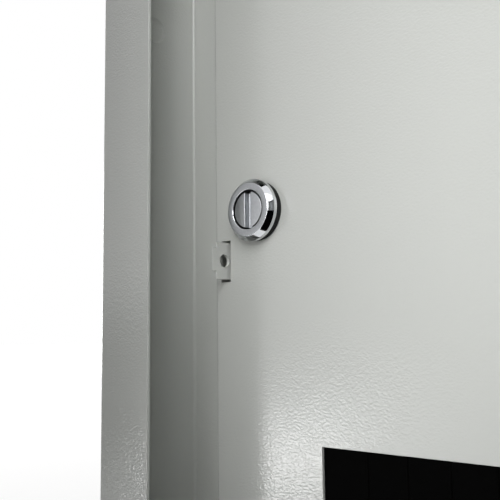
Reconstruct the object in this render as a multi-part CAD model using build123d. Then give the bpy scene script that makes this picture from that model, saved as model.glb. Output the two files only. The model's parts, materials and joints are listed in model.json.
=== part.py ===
from build123d import *
import os

# Frame: X to the right, Y into the wall, Z up, millimetres.
# The origin is the centre of the rear face, which lies on the wall.

# Overall sizes and sheet
body_width = 400.0
body_height = 500.0
body_depth = 180.0
sheet = 1.5
bend_radius = 2.0
front_flange_width = 34.2

# Inner frame that the inner door closes on
inner_door_setback = 37.0
inner_door_depth = 18.6
inner_door_edge_gap = 3.8
inner_door_seat_gap = 0.4
frame_overlap = 10.5
frame_bend_radius = 1.6
frame_front_gap = 1.5
dimple_outer_radius = 6.6
dimple_inner_radius = 5.4
dimple_depth = 0.9
dimple_below_top = 149.0
dimple_pitch = 300.0
dimple_behind_flange = 28.1

# Module windows in the inner door
module_pitch = 17.5
window_spare_width = 7.0
window_height = 46.0
window_left_margin = 60.8
window_right_margin = 40.0
window_from_door_end = 89.4
blank_thickness = 2.0
blank_overlap = 7.0
blank_groove = 0.6
blank_stud_radius = 1.5
blank_stud_length = 6.5
clip_radius = 4.5
clip_thickness = 1.2

# Quarter-turn locks
lock_flange_radius = 13.8
lock_face_radius = 11.8
lock_flange_height = 5.5
lock_face_height = 7.8
lock_gasket_radius = 13.2
lock_gasket_thickness = 3.7
lock_insert_radius = 8.0
lock_insert_gap = 0.8
lock_insert_recess = 0.4
lock_slot_width = 3.6
lock_slot_depth = 3.0
lock_head_depth = 4.6
lock_thread_radius = 11.0
lock_hole_clearance = 0.1
lock_shaft_radius = 6.0
running_clearance = 0.05
nut_across_flats = 27.0
nut_thickness = 4.0
cam_thickness = 2.5
cam_width = 15.0
cam_reach = 28.0
cam_frame_gap = 0.6
cam_square = 8.0
cam_screw_head_radius = 5.0
cam_screw_head_height = 3.5
cam_screw_shank_radius = 2.5
cam_screw_length = 9.0
inner_lock_edge_distance = 28.5
outer_lock_edge_distance = 48.0
outer_lock_height = 120.0

# Seal lug that stands out through the inner door
lug_edge_distance = 7.5
lug_thickness = 1.5
lug_height = 16.9
lug_below_lock = 20.75
lug_shoulder = 7.6
lug_tip = 10.0
lug_tip_height = 10.6
lug_tip_rise = 0.5
lug_hole_radius = 2.9
lug_hole_in_front = 2.7
lug_foot = 5.0
lug_slot_left_gap = 3.3
lug_slot_right_gap = 1.2
lug_slot_end_gap = 1.05

# Outer door
outer_door_depth = 12.0
outer_door_gap = 1.0
outer_door_open_angle = 115.0
gasket_width = 12.0
gasket_clear = 0.3
stiffener_width = 30.0
stiffener_lip = 10.0
stiffener_end_gap = 60.0
stiffener_rise = 10.0
stiffener_from_centre = 70.0
stiffener_hole_radius = 3.0
stiffener_hole_pitch = 25.0

# Hinges
hinge_height = 40.0
hinge_knuckle_gap = 0.3
hinge_pin_radius = 2.5
hinge_pin_head_radius = 3.6
hinge_pin_head_height = 1.5
leaf_thickness = 2.5
outer_knuckle_radius = 4.5
outer_axis_from_side = 6.0
outer_leaf_length = 11.0
outer_leaf_start = 3.3
outer_hinge_height = 170.0
inner_knuckle_radius = 4.0
inner_axis_from_edge = 6.0
inner_axis_in_front = 5.5
inner_leaf_length = 13.0
inner_bracket_foot = 24.0
inner_hinge_height = 140.0

# Mounting plate and what stands on it
plate_side_gap = 50.0
plate_end_gap = 60.0
plate_thickness = 2.0
plate_standoff = 12.0
plate_stud_inset = 20.0
plate_stud_radius = 3.0
plate_stud_spare = 4.0
spacer_radius = 6.0
small_nut_across_flats = 10.0
small_nut_thickness = 5.0
fastener_gap = 0.2
rail_setback = 46.0
rail_height = 35.0
rail_channel_height = 27.0
rail_depth = 7.5
rail_sheet = 1.0
rail_overhang = 6.0
rail_slot_length = 18.0
rail_slot_radius = 3.1
rail_slot_pitch = 25.0
bracket_side_gap = 8.0
bracket_flange = 18.0
bracket_end_gap = 35.0
bracket_foot_inset = 40.0
screw_radius = 2.4
screw_head_radius = 4.2
screw_head_height = 2.8
bar_length = 180.0
bar_height = 11.0
bar_thickness = 7.0
bar_from_edge = 12.0
bar_support_height = 14.0
bar_support_width = 10.0
bar_support_inset = 18.0
bar_screw_count = 11
bar_screw_radius = 2.0
bar_screw_head_radius = 3.4
bar_screw_head_height = 2.4

# Cable entry in the bottom wall
gland_opening_width = 200.0
gland_margin = 10.5
gland_border = 15.0
gland_gasket_thickness = 2.0
gland_plate_thickness = 2.0
gland_screw_columns = 3
gland_screw_spacing = 95.0
grommet_count = 3
grommet_spacing = 60.0
grommet_seat_radius = 12.4
grommet_lip_radius = 15.5
grommet_lip = 1.8
grommet_bore_radius = 9.0

# Wall fixings and earth stud
wall_hole_radius = 4.5
wall_hole_inset_side = 26.0
wall_hole_inset_end = 28.0
earth_stud_radius = 4.0
earth_stud_length = 24.0
earth_nut_across_flats = 13.0
earth_nut_thickness = 6.0
earth_stud_from_plate = 22.0
earth_stud_from_bottom = 75.0

# Places worked out from the sizes
half_width = body_width / 2
half_height = body_height / 2
front_y = -body_depth
flange_back_y = front_y + sheet
wall_inner_x = half_width - sheet
wall_inner_z = half_height - sheet
opening_x = half_width - front_flange_width
opening_z = half_height - front_flange_width
door_x = opening_x - inner_door_edge_gap
door_z = opening_z - inner_door_edge_gap
door_front_y = front_y + inner_door_setback
door_back_y = door_front_y + sheet
door_rim_y = door_front_y + inner_door_depth
frame_front_y = door_rim_y + inner_door_seat_gap
frame_back_y = frame_front_y + sheet
frame_inner_x = door_x - frame_overlap
frame_inner_z = door_z - frame_overlap
web_inner_x = wall_inner_x - sheet
window_room = 2 * door_x - window_left_margin - window_right_margin
module_count = int((window_room - window_spare_width) / module_pitch)
window_width = module_count * module_pitch + window_spare_width
window_left = -door_x + window_left_margin
window_right = window_left + window_width
window_centre_x = (window_left + window_right) / 2
window_centre_height = door_z - window_from_door_end
inner_lock_x = -door_x + inner_lock_edge_distance
outer_front_y = front_y - outer_door_gap - outer_door_depth
outer_back_y = outer_front_y + sheet
outer_rim_y = front_y - outer_door_gap
outer_lock_x = -half_width + outer_lock_edge_distance
outer_axis = (half_width + outer_axis_from_side, outer_rim_y)
inner_axis = (door_x + inner_axis_from_edge, door_front_y - inner_axis_in_front)
stiffener_height = body_height - 2 * stiffener_end_gap
plate_width = body_width - 2 * plate_side_gap
plate_height = body_height - 2 * plate_end_gap
plate_back_y = -sheet - plate_standoff
plate_front_y = plate_back_y - plate_thickness
rail_front_y = door_front_y + rail_setback
rail_back_y = rail_front_y + rail_depth
bracket_x = window_width / 2 + bracket_side_gap
bracket_height = plate_height - 2 * bracket_end_gap
gland_y = (frame_back_y - sheet) / 2
gland_opening_depth = -sheet - frame_back_y - 2 * (gland_border + gland_margin)
lug_x = -door_x + lug_edge_distance


def block(x0, x1, y0, y1, z0, z1):
    """A box between two places on each axis."""
    centre = Pos((x0 + x1) / 2, (y0 + y1) / 2, (z0 + z1) / 2)
    return centre * Box(abs(x1 - x0), abs(y1 - y0), abs(z1 - z0))


def rod_y(x, z, y0, y1, radius, end_radius=None):
    """A round bar along Y, or a cone if the far end has its own radius."""
    turn = Pos(x, (y0 + y1) / 2, z) * Rot(90, 0, 0)
    if end_radius is None:
        return turn * Cylinder(radius, abs(y1 - y0))
    return turn * Cone(radius, end_radius, abs(y1 - y0))


def rod_z(x, y, z0, z1, radius):
    """A round bar along Z."""
    return Pos(x, y, (z0 + z1) / 2) * Cylinder(radius, abs(z1 - z0))


def hexagon_y(x, z, y0, y1, across_flats):
    """A hexagonal bar along Y, flats facing up and down."""
    face = RegularPolygon(across_flats / 2, 6, major_radius=False)
    return Pos(x, max(y0, y1), z) * Rot(90, 0, 0) * extrude(face, abs(y1 - y0))


def prism_z(points, z0, z1):
    """An outline in X and Y raised from z0 to z1."""
    face = make_face(Polyline(*points, close=True))
    return Pos(0, 0, z0) * extrude(face, z1 - z0)


def prism_x(points, x0, x1):
    """An outline in Y and Z drawn along X from x0 to x1."""
    plane = Plane((x0, 0, 0), x_dir=(0, 1, 0), z_dir=(1, 0, 0))
    face = make_face(Polyline(*points, close=True))
    return extrude(plane * face, x1 - x0)


def turned(part, axis_xy, angle):
    """The part turned about an upright axis."""
    return part.rotate(Axis((axis_xy[0], axis_xy[1], 0), (0, 0, 1)), angle)


def opened(part):
    """An outer door piece, modelled closed and shown in its rest pose, open."""
    return turned(part, outer_axis, outer_door_open_angle)


def group(parts):
    """Separate solids that share one node."""
    return Compound(children=list(parts))


def folded_pan(half_x, half_z, y_front, depth):
    """A sheet pan with a rim on all four sides, open at the back."""
    outside = block(-half_x, half_x, y_front, y_front + depth, -half_z, half_z)
    front_edges = outside.faces().sort_by(Axis.Y)[0].edges()
    outside = fillet(front_edges + outside.edges().filter_by(Axis.Y), bend_radius)
    inside = block(
        -half_x + sheet, half_x - sheet,
        y_front + sheet, y_front + depth + sheet,
        -half_z + sheet, half_z - sheet,
    )
    return outside - inside


# Body


def make_body_shell():
    """Four walls and the front flange, with the cable opening in the bottom wall."""
    shell = folded_pan(half_width, half_height, front_y, body_depth - sheet)
    shell -= block(-opening_x, opening_x, front_y - sheet, flange_back_y + sheet, -opening_z, opening_z)
    shell -= block(
        -gland_opening_width / 2, gland_opening_width / 2,
        gland_y - gland_opening_depth / 2, gland_y + gland_opening_depth / 2,
        -half_height - sheet, -wall_inner_z + sheet,
    )
    for x, y in gland_screw_places():
        shell -= rod_z(x, y, -half_height - sheet, -wall_inner_z + sheet, screw_radius + fastener_gap)
    return shell


def make_rear_panel():
    """The flat rear sheet, with the four wall holes."""
    panel = block(-half_width, half_width, -sheet, 0, -half_height, half_height)
    panel = fillet(panel.edges().filter_by(Axis.Y), bend_radius)
    for x, z in wall_hole_places():
        panel -= rod_y(x, z, -2 * sheet, sheet, wall_hole_radius)
    return panel


def wall_hole_places():
    """Centres of the four wall holes, as X and Z."""
    x = half_width - wall_hole_inset_side
    z = half_height - wall_hole_inset_end
    return [(-x, -z), (x, -z), (-x, z), (x, z)]


def make_frame_upright(side):
    """An upright of the inner frame: a web on the side wall and a flange behind the door edge."""
    web_front_y = flange_back_y + frame_front_gap
    web = block(web_inner_x, wall_inner_x, web_front_y, frame_back_y, -wall_inner_z, wall_inner_z)
    flange = block(frame_inner_x, wall_inner_x, frame_front_y, frame_back_y, -wall_inner_z, wall_inner_z)
    upright = web + flange + frame_bend()
    for z in dimple_heights():
        place = Pos(web_inner_x, flange_back_y + dimple_behind_flange, z) * Rot(0, 90, 0)
        upright -= place * Cone(
            dimple_outer_radius, dimple_inner_radius, dimple_depth,
            align=(Align.CENTER, Align.CENTER, Align.MIN),
        )
    if side < 0:
        upright = mirror(upright, Plane.YZ)
    return upright


def frame_bend():
    """The rounded inside of the bend between an upright's web and its flange."""
    x = web_inner_x - frame_bend_radius
    y = frame_front_y - frame_bend_radius
    end = wall_inner_z - sheet
    return block(x, web_inner_x, y, frame_front_y, -end, end) - rod_z(x, y, -end, end, frame_bend_radius)


def dimple_heights():
    """Heights of the spot-weld dimples."""
    top = half_height - dimple_below_top
    return [top, top - dimple_pitch]


def make_frame_rail(side):
    """A cross rail of the inner frame, between the uprights, at the top or the bottom."""
    web_front_y = flange_back_y + frame_front_gap
    web_z = wall_inner_z - sheet
    web = block(-web_inner_x, web_inner_x, web_front_y, frame_front_y, web_z, wall_inner_z)
    flange = block(-frame_inner_x, frame_inner_x, frame_front_y - sheet, frame_back_y, web_z, wall_inner_z)
    flange += block(-frame_inner_x, frame_inner_x, frame_front_y, frame_back_y, frame_inner_z, wall_inner_z)
    rail = web + flange
    if side < 0:
        rail = mirror(rail, Plane.XY)
    return rail


def make_seal_lug():
    """The drilled lug on the left upright, which stands out through the inner door's slot."""
    z = -lug_below_lock
    tip_y = door_front_y - lug_tip
    shoulder_y = door_front_y - lug_shoulder
    tip_z = z + lug_tip_rise
    half_tip = lug_tip_height / 2
    half_lug = lug_height / 2
    blade = prism_x(
        [
            (frame_front_y, z - half_lug),
            (frame_front_y, z + half_lug),
            (shoulder_y, z + half_lug),
            (shoulder_y, tip_z + half_tip),
            (tip_y, tip_z + half_tip),
            (tip_y, tip_z - half_tip),
            (shoulder_y, tip_z - half_tip),
            (shoulder_y, z - half_lug),
        ],
        lug_x, lug_x + lug_thickness,
    )
    foot = block(
        lug_x - lug_foot, lug_x + lug_thickness,
        frame_front_y - lug_thickness, frame_front_y,
        z - half_lug, z + half_lug,
    )
    hole_y = door_front_y - lug_hole_in_front
    hole = Pos(lug_x + lug_thickness / 2, hole_y, z) * Rot(0, 90, 0)
    return blade + foot - hole * Cylinder(lug_hole_radius, 4 * lug_thickness)


# Hinges


def knuckle(axis_xy, z0, z1, radius):
    """A hinge barrel with its running bore."""
    barrel = rod_z(axis_xy[0], axis_xy[1], z0, z1, radius)
    return barrel - rod_z(axis_xy[0], axis_xy[1], z0, z1, hinge_pin_radius + running_clearance)


def knuckle_spans(z):
    """Where a hinge's three barrels lie: the two outside ones and the middle one."""
    half = hinge_height / 2
    third = half / 2
    outside = [(z - half, z - third), (z + third, z + half)]
    middle = (z - third + hinge_knuckle_gap, z + third - hinge_knuckle_gap)
    return outside, middle


def make_hinge_pin(axis_xy, z):
    """A hinge pin with a small head at each end."""
    half = hinge_height / 2
    x, y = axis_xy
    pin = rod_z(x, y, z - half, z + half, hinge_pin_radius)
    for end in (-1, 1):
        pin += rod_z(x, y, z + end * half, z + end * (half + hinge_pin_head_height), hinge_pin_head_radius)
    return pin


def outer_leaf(z, spans, side):
    """A leaf on the side wall, reaching back from the hinge axis, or forward with side -1."""
    x, y = outer_axis
    near = y + side * outer_leaf_start
    far = near + side * outer_leaf_length
    half = hinge_height / 2
    leaf = block(half_width, half_width + leaf_thickness, near, far, z - half, z + half)
    for z0, z1 in spans:
        bore = rod_z(x, y, z0, z1, hinge_pin_radius + running_clearance)
        web = prism_z(
            [
                (half_width, near + side * outer_knuckle_radius),
                (half_width, near),
                (x - outer_knuckle_radius, y),
                (x, y),
                (x + outer_knuckle_radius * 0.7, y + side * outer_knuckle_radius * 0.7),
                (half_width + leaf_thickness, far),
            ],
            z0, z1,
        )
        leaf += web - bore
        leaf += knuckle(outer_axis, z0, z1, outer_knuckle_radius)
    return leaf


def make_outer_leaf_body(z):
    """The body's leaf of an outer hinge."""
    outside, middle = knuckle_spans(z)
    return outer_leaf(z, outside, 1)


def make_outer_leaf_door(z):
    """The door's leaf of an outer hinge."""
    outside, middle = knuckle_spans(z)
    return outer_leaf(z, [middle], -1)


def make_inner_bracket(z):
    """The frame's hinge bracket, on the right upright's web."""
    x, y = inner_axis
    outside, middle = knuckle_spans(z)
    half = hinge_height / 2
    bracket = block(
        web_inner_x - leaf_thickness, web_inner_x,
        y - leaf_thickness / 2, y - leaf_thickness / 2 + inner_bracket_foot,
        z - half, z + half,
    )
    reach = x + inner_knuckle_radius + hinge_knuckle_gap
    bracket += block(
        reach, web_inner_x,
        y - leaf_thickness / 2, y + leaf_thickness / 2,
        z - half, z + half,
    )
    for z0, z1 in outside:
        bore = rod_z(x, y, z0, z1, hinge_pin_radius + running_clearance)
        bracket += block(x, reach, y - leaf_thickness / 2, y + leaf_thickness / 2, z0, z1) - bore
        bracket += knuckle(inner_axis, z0, z1, inner_knuckle_radius)
    return bracket


def make_inner_leaf_door(z):
    """The inner door's hinge leaf, on the outside of its right rim."""
    x, y = inner_axis
    outside, middle = knuckle_spans(z)
    half = hinge_height / 2
    near = door_front_y + bend_radius
    leaf = block(door_x, door_x + leaf_thickness, near, near + inner_leaf_length, z - half, z + half)
    z0, z1 = middle
    bore = rod_z(x, y, z0, z1, hinge_pin_radius + running_clearance)
    web = prism_z(
        [
            (door_x, near + inner_knuckle_radius),
            (door_x, near),
            (x - inner_knuckle_radius, y),
            (x, y),
            (x, y + inner_knuckle_radius * 0.9),
            (door_x + leaf_thickness, near + inner_knuckle_radius),
        ],
        z0, z1,
    )
    leaf += web - bore
    leaf += knuckle(inner_axis, z0, z1, inner_knuckle_radius)
    return leaf


# Inner door


def make_inner_door_panel():
    """The inner door: a pan with its lock hole, lug slot and module windows."""
    panel = folded_pan(door_x, door_z, door_front_y, inner_door_depth)
    before = door_front_y - sheet
    behind = door_back_y + sheet
    panel -= rod_y(inner_lock_x, 0, before, behind, lock_thread_radius + lock_hole_clearance)
    slot_half = lug_height / 2 + lug_slot_end_gap
    panel -= block(
        lug_x - lug_slot_left_gap, lug_x + lug_thickness + lug_slot_right_gap,
        before, behind,
        -lug_below_lock - slot_half, -lug_below_lock + slot_half,
    )
    for z in (-window_centre_height, window_centre_height):
        panel -= block(
            window_left, window_right,
            before, behind,
            z - window_height / 2, z + window_height / 2,
        )
    return panel


def make_window_blank(z):
    """The black strip that closes a module window from behind."""
    half = window_height / 2 + blank_overlap
    blank = block(
        window_left - blank_overlap, window_right + blank_overlap,
        door_back_y, door_back_y + blank_thickness,
        z - half, z + half,
    )
    for n in range(1, module_count):
        x = window_centre_x + (n - module_count / 2) * module_pitch
        blank -= block(
            x - blank_groove / 2, x + blank_groove / 2,
            door_back_y - blank_groove, door_back_y + blank_groove,
            z - window_height / 2, z + window_height / 2,
        )
    for x, stud_z in blank_stud_places(z):
        blank -= rod_y(
            x, stud_z, door_back_y - sheet, door_back_y + 2 * blank_thickness,
            blank_stud_radius + fastener_gap,
        )
    return blank


def blank_stud_places(z):
    """Centres of the four studs that hold a window strip."""
    inset = blank_overlap / 2
    x0 = window_left + window_width / 4
    x1 = window_right - window_width / 4
    half = window_height / 2 + inset
    return [(x, z + side * half) for x in (x0, x1) for side in (-1, 1)]


def all_blank_studs():
    """Centres of the studs of both window strips."""
    return [place for z in (-window_centre_height, window_centre_height) for place in blank_stud_places(z)]


def make_window_studs():
    """Weld studs on the back of the inner door."""
    end = door_back_y + blank_stud_length
    return group(rod_y(x, z, door_back_y, end, blank_stud_radius) for x, z in all_blank_studs())


def make_window_clips():
    """Push-on clips on the weld studs."""
    y0 = door_back_y + blank_thickness
    y1 = y0 + clip_thickness
    return group(
        rod_y(x, z, y0, y1, clip_radius) - rod_y(x, z, y0, y1, blank_stud_radius + running_clearance)
        for x, z in all_blank_studs()
    )


# Locks


def make_lock_gasket(x, z, front_y):
    """The rubber ring under a lock's flange."""
    y0 = front_y - lock_gasket_thickness
    ring = rod_y(x, z, y0, front_y, lock_gasket_radius)
    return ring - rod_y(x, z, y0, front_y, lock_thread_radius + lock_hole_clearance)


def make_lock_bezel(x, z, front_y, body_end_y):
    """A lock housing: bevelled flange, threaded body and stepped bore."""
    flange_y = front_y - lock_flange_height
    face_y = front_y - lock_face_height
    head_y = face_y + lock_head_depth
    housing = rod_y(x, z, flange_y, front_y - lock_gasket_thickness, lock_flange_radius)
    housing += rod_y(x, z, face_y, flange_y, lock_flange_radius, lock_face_radius)
    housing += rod_y(x, z, flange_y, body_end_y, lock_thread_radius)
    housing -= rod_y(x, z, face_y, head_y, lock_insert_radius + lock_insert_gap)
    housing -= rod_y(x, z, face_y, body_end_y, lock_shaft_radius + running_clearance)
    return housing


def make_lock_nut(x, z, back_y):
    """The hexagonal nut that clamps a lock housing to its door."""
    nut = hexagon_y(x, z, back_y, back_y + nut_thickness, nut_across_flats)
    return nut - rod_y(x, z, back_y, back_y + nut_thickness, lock_thread_radius + running_clearance)


def make_lock_insert(x, z, front_y, cam_y):
    """The turning core: slotted head, shaft and square end for the cam."""
    head_y = front_y - lock_face_height + lock_insert_recess
    seat_y = front_y - lock_face_height + lock_head_depth - fastener_gap
    core = rod_y(x, z, head_y, seat_y, lock_insert_radius)
    core += rod_y(x, z, seat_y, cam_y, lock_shaft_radius)
    core += block(
        x - cam_square / 2, x + cam_square / 2,
        cam_y, cam_y + cam_thickness,
        z - cam_square / 2, z + cam_square / 2,
    )
    core -= block(
        x - lock_slot_width / 2, x + lock_slot_width / 2,
        head_y, head_y + lock_slot_depth,
        z - lock_insert_radius, z + lock_insert_radius,
    )
    hole_end = cam_y + cam_thickness
    core -= rod_y(x, z, hole_end - cam_screw_length, hole_end, cam_screw_shank_radius)
    return core


def make_lock_cam(x, z, cam_y):
    """The flat cam, hanging straight down when the door is free to open."""
    y1 = cam_y + cam_thickness
    half = cam_width / 2
    cam = rod_y(x, z, cam_y, y1, half)
    cam += block(x - half, x + half, cam_y, y1, z - cam_reach, z)
    corner_edges = cam.edges().filter_by(Axis.Y).group_by(Axis.Z)[0]
    cam = fillet(corner_edges, half / 2)
    return cam - block(
        x - cam_square / 2, x + cam_square / 2,
        cam_y, y1,
        z - cam_square / 2, z + cam_square / 2,
    )


def make_cam_screw(x, z, cam_y):
    """The screw that holds a cam on its core."""
    seat = cam_y + cam_thickness
    screw = rod_y(x, z, seat, seat + cam_screw_head_height, cam_screw_head_radius)
    return screw + rod_y(x, z, seat - cam_screw_length, seat, cam_screw_shank_radius)


def add_lock(pieces, name, x, z, front_y, cam_y, place):
    """A lock's housing and the pieces that turn in it, put in place by the given function."""
    body_end_y = cam_y - fastener_gap
    pieces[name + "_bezel"] = place(make_lock_bezel(x, z, front_y, body_end_y))
    pieces[name + "_insert"] = place(make_lock_insert(x, z, front_y, cam_y))
    pieces[name + "_cam"] = place(make_lock_cam(x, z, cam_y))
    pieces[name + "_cam_screw"] = place(make_cam_screw(x, z, cam_y))


# Outer door


def make_outer_door_shell():
    """The outer door: a pan with two lock holes."""
    shell = folded_pan(half_width, half_height, outer_front_y, outer_door_depth)
    for z in (-outer_lock_height, outer_lock_height):
        shell -= rod_y(
            outer_lock_x, z, outer_front_y - sheet, outer_back_y + sheet,
            lock_thread_radius + lock_hole_clearance,
        )
    return shell


def make_outer_door_gasket():
    """The foam seal that presses on the middle of the body's front flange."""
    middle_x = half_width - front_flange_width / 2
    middle_z = half_height - front_flange_width / 2
    half = gasket_width / 2
    y1 = front_y - gasket_clear
    ring = block(-middle_x - half, middle_x + half, outer_back_y, y1, -middle_z - half, middle_z + half)
    return ring - block(
        -middle_x + half, middle_x - half,
        outer_back_y, y1,
        -middle_z + half, middle_z - half,
    )


def make_outer_door_stiffener(x):
    """A perforated hat rail on the back of the outer door."""
    half = stiffener_width / 2
    half_z = stiffener_height / 2
    y1 = outer_back_y + stiffener_rise
    rail = block(x - half, x + half, outer_back_y, y1, -half_z, half_z)
    rail -= block(x - half + sheet, x + half - sheet, outer_back_y - sheet, y1 - sheet, -half_z, half_z)
    for side in (-1, 1):
        rail += block(
            x + side * half, x + side * (half + stiffener_lip),
            outer_back_y, outer_back_y + sheet,
            -half_z, half_z,
        )
    count = int((stiffener_height - stiffener_hole_pitch) / stiffener_hole_pitch)
    for n in range(count):
        z = (n - (count - 1) / 2) * stiffener_hole_pitch
        rail -= rod_y(x, z, y1 - 2 * sheet, y1 + sheet, stiffener_hole_radius)
    return rail


# Mounting plate and device frame


def plate_stud_places():
    """Centres of the four studs that carry the mounting plate."""
    x = plate_width / 2 - plate_stud_inset
    z = plate_height / 2 - plate_stud_inset
    return [(-x, -z), (x, -z), (-x, z), (x, z)]


def bracket_screw_places():
    """Centres of the screws that hold the device frame on the plate."""
    z = bracket_height / 2 - bracket_foot_inset
    return [
        (window_centre_x + side * (bracket_x + bracket_flange / 2), level)
        for side in (-1, 1)
        for level in (-z, z)
    ]


def rail_screw_places():
    """Centres of the screws that hold the rails on the device frame."""
    return [
        (window_centre_x + side * (bracket_x + bracket_flange / 2), level)
        for side in (-1, 1)
        for level in (-window_centre_height, window_centre_height)
    ]


def bar_levels():
    """Heights of the earth bar and the neutral bar."""
    level = plate_height / 2 - bar_from_edge
    return [-level, level]


def bar_support_places():
    """Centres of the bars' supports, as X and Z."""
    x = bar_length / 2 - bar_support_inset
    return [(side * x, z) for side in (-1, 1) for z in bar_levels()]


def make_mounting_plate():
    """The plate on four studs, drilled for what it carries."""
    plate = block(
        -plate_width / 2, plate_width / 2,
        plate_front_y, plate_back_y,
        -plate_height / 2, plate_height / 2,
    )
    for x, z in plate_stud_places():
        plate -= rod_y(x, z, plate_front_y, plate_back_y, plate_stud_radius + fastener_gap)
    for x, z in bracket_screw_places() + bar_support_places():
        plate -= rod_y(x, z, plate_front_y, plate_back_y, screw_radius + running_clearance)
    return plate


def make_plate_studs():
    """Weld studs on the rear sheet."""
    end = plate_front_y - small_nut_thickness - plate_stud_spare
    return group(rod_y(x, z, end, -sheet, plate_stud_radius) for x, z in plate_stud_places())


def make_plate_spacers():
    """Tubes that hold the mounting plate off the rear sheet."""
    return group(
        rod_y(x, z, plate_back_y, -sheet, spacer_radius)
        - rod_y(x, z, plate_back_y, -sheet, plate_stud_radius + fastener_gap)
        for x, z in plate_stud_places()
    )


def make_plate_nuts():
    """Nuts on the mounting plate's studs."""
    y0 = plate_front_y - small_nut_thickness
    return group(
        hexagon_y(x, z, y0, plate_front_y, small_nut_across_flats)
        - rod_y(x, z, y0, plate_front_y, plate_stud_radius + running_clearance)
        for x, z in plate_stud_places()
    )


def make_device_frame(side):
    """An upright sheet profile that carries the rails' ends."""
    x0 = bracket_x
    x1 = bracket_x + bracket_flange
    half = bracket_height / 2
    profile = block(x0, x0 + sheet, rail_back_y, plate_front_y, -half, half)
    profile += block(x0, x1, plate_front_y - sheet, plate_front_y, -half, half)
    profile += block(x0, x1, rail_back_y, rail_back_y + sheet, -half, half)
    if side < 0:
        profile = mirror(profile, Plane.YZ)
    profile = Pos(window_centre_x, 0, 0) * profile
    for x, z in bracket_screw_places():
        profile -= rod_y(x, z, plate_front_y - 2 * sheet, plate_front_y, screw_radius + running_clearance)
    for x, z in rail_screw_places():
        profile -= rod_y(x, z, rail_back_y, rail_back_y + 2 * sheet, screw_radius + running_clearance)
    return profile


def make_device_frame_screws():
    """Screws through the device frame's feet and the plate."""
    seat = plate_front_y - sheet
    return group(
        rod_y(x, z, seat - screw_head_height, seat, screw_head_radius)
        + rod_y(x, z, seat, plate_back_y, screw_radius)
        for x, z in bracket_screw_places()
    )


def make_rail(z):
    """A slotted hat rail."""
    half_length = bracket_x + bracket_flange + rail_overhang
    x0 = window_centre_x - half_length
    x1 = window_centre_x + half_length
    half = rail_channel_height / 2
    rail = block(x0, x1, rail_front_y, rail_back_y, z - half, z + half)
    rail -= block(x0, x1, rail_front_y, rail_back_y - rail_sheet, z - half + rail_sheet, z + half - rail_sheet)
    rail += block(x0, x1, rail_front_y, rail_front_y + rail_sheet, z + half, z + rail_height / 2)
    rail += block(x0, x1, rail_front_y, rail_front_y + rail_sheet, z - rail_height / 2, z - half)
    straight = rail_slot_length / 2 - rail_slot_radius
    slots = int((2 * bracket_x - rail_slot_length) / rail_slot_pitch)
    for n in range(slots):
        x = window_centre_x + (n - (slots - 1) / 2) * rail_slot_pitch
        rail -= block(
            x - straight, x + straight,
            rail_back_y - 2 * rail_sheet, rail_back_y + rail_sheet,
            z - rail_slot_radius, z + rail_slot_radius,
        )
        for end in (-1, 1):
            rail -= rod_y(
                x + end * straight, z,
                rail_back_y - 2 * rail_sheet, rail_back_y + rail_sheet,
                rail_slot_radius,
            )
    for x, level in rail_screw_places():
        rail -= rod_y(x, level, rail_back_y - 2 * rail_sheet, rail_back_y, screw_radius + running_clearance)
    return rail


def make_rail_screws():
    """Screws through the rails' ends and the device frame."""
    seat = rail_back_y - rail_sheet
    return group(
        rod_y(x, z, seat - screw_head_height, seat, screw_head_radius)
        + rod_y(x, z, seat, rail_back_y + sheet + screw_head_height, screw_radius)
        for x, z in rail_screw_places()
    )


def bar_screw_xs():
    """Places of the clamping screws along a bar, between its supports."""
    run = bar_length - 2 * (bar_support_inset + bar_support_width)
    pitch = run / (bar_screw_count - 1)
    return [(n - (bar_screw_count - 1) / 2) * pitch for n in range(bar_screw_count)]


def make_bar(z):
    """A terminal bar, drilled for its supports' screws and its clamping screws."""
    y1 = plate_front_y - bar_support_height
    y0 = y1 - bar_thickness
    half = bar_height / 2
    bar = block(-bar_length / 2, bar_length / 2, y0, y1, z - half, z + half)
    for x, level in bar_support_places():
        bar -= rod_y(x, level, y0, y1, screw_radius + running_clearance)
    for x in bar_screw_xs():
        bar -= rod_y(x, z, y0, y1, bar_screw_radius + running_clearance)
    return bar


def make_bar_supports():
    """Blocks that hold the bars off the plate, two to a bar."""
    y0 = plate_front_y - bar_support_height
    half_w = bar_support_width / 2
    half_h = bar_height / 2
    return group(
        block(x - half_w, x + half_w, y0, plate_front_y, z - half_h, z + half_h)
        - rod_y(x, z, y0, plate_front_y, screw_radius + running_clearance)
        for x, z in bar_support_places()
    )


def make_bar_screws():
    """The bars' fixing screws and their rows of clamping screws."""
    front = plate_front_y - bar_support_height - bar_thickness
    screws = [
        rod_y(x, z, front - screw_head_height, front, screw_head_radius)
        + rod_y(x, z, front, plate_back_y, screw_radius)
        for x, z in bar_support_places()
    ]
    screws += [
        rod_y(x, z, front - bar_screw_head_height, front, bar_screw_head_radius)
        + rod_y(x, z, front, front + bar_thickness, bar_screw_radius)
        for x in bar_screw_xs()
        for z in bar_levels()
    ]
    return group(screws)


# Cable entry


def gland_screw_places():
    """Centres of the gland plate's screws, as X and Y."""
    middle = (gland_screw_columns - 1) / 2
    rise = gland_opening_depth / 2 + gland_border / 2
    return [
        ((n - middle) * gland_screw_spacing, gland_y + side * rise)
        for n in range(gland_screw_columns)
        for side in (-1, 1)
    ]


def grommet_xs():
    """Places of the cable grommets along X."""
    middle = (grommet_count - 1) / 2
    return [(n - middle) * grommet_spacing for n in range(grommet_count)]


def gland_sheet(z0, z1):
    """A rectangle over the cable opening and its border, drilled for the screws."""
    half_x = gland_opening_width / 2 + gland_border
    half_y = gland_opening_depth / 2 + gland_border
    plate = block(-half_x, half_x, gland_y - half_y, gland_y + half_y, z0, z1)
    for x, y in gland_screw_places():
        plate -= rod_z(x, y, z0, z1, screw_radius + fastener_gap)
    return plate


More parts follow.
